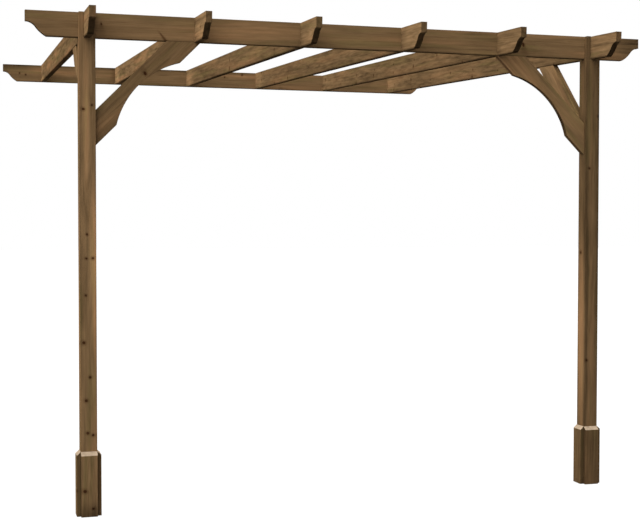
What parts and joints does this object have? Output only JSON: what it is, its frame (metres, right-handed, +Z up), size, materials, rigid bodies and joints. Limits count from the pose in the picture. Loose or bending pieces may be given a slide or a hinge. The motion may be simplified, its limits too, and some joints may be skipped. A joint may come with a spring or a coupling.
{
  "type": "lean-to pergola",
  "caption": "Open lean-to timber pergola: two braced posts and a front beam carry rafters with ogee ends, which run back to a wall plate.",
  "frame": {"origin": "middle of the wall plate's back face, which lies flat on the wall; the ground is 2.798 m below it", "axes": "+Y points into the wall, +Z up, +X to the right seen from the garden side"},
  "size_m": [3.64, 3.9986, 2.865],
  "materials": {
    "post_timber": "brown pressure-treated softwood, planed, with knots and drying checks",
    "beam_timber": "brown pressure-treated softwood board, planed, grain along the board",
    "rafter_timber": "brown pressure-treated softwood board, planed, grain along the rafter",
    "brace_timber": "brown pressure-treated softwood, sawn curve, grain along the brace",
    "boot_timber": "brown pressure-treated softwood, paler on the sloping top cut"
  },
  "bodies": {
    "root": {"post_left": "post_timber", "post_right": "post_timber", "front_beam": "beam_timber", "wall_plate": "beam_timber", "rafter_1": "rafter_timber", "rafter_2": "rafter_timber", "rafter_3": "rafter_timber", "rafter_4": "rafter_timber", "rafter_5": "rafter_timber", "rafter_6": "rafter_timber", "brace_left_side": "brace_timber", "brace_left_back": "brace_timber", "brace_right_side": "brace_timber", "brace_right_back": "brace_timber", "boot_left_front": "boot_timber", "boot_left_back": "boot_timber", "boot_left_outer": "boot_timber", "boot_left_inner": "boot_timber", "boot_right_front": "boot_timber", "boot_right_back": "boot_timber", "boot_right_outer": "boot_timber", "boot_right_inner": "boot_timber"}
  },
  "joints": []
}
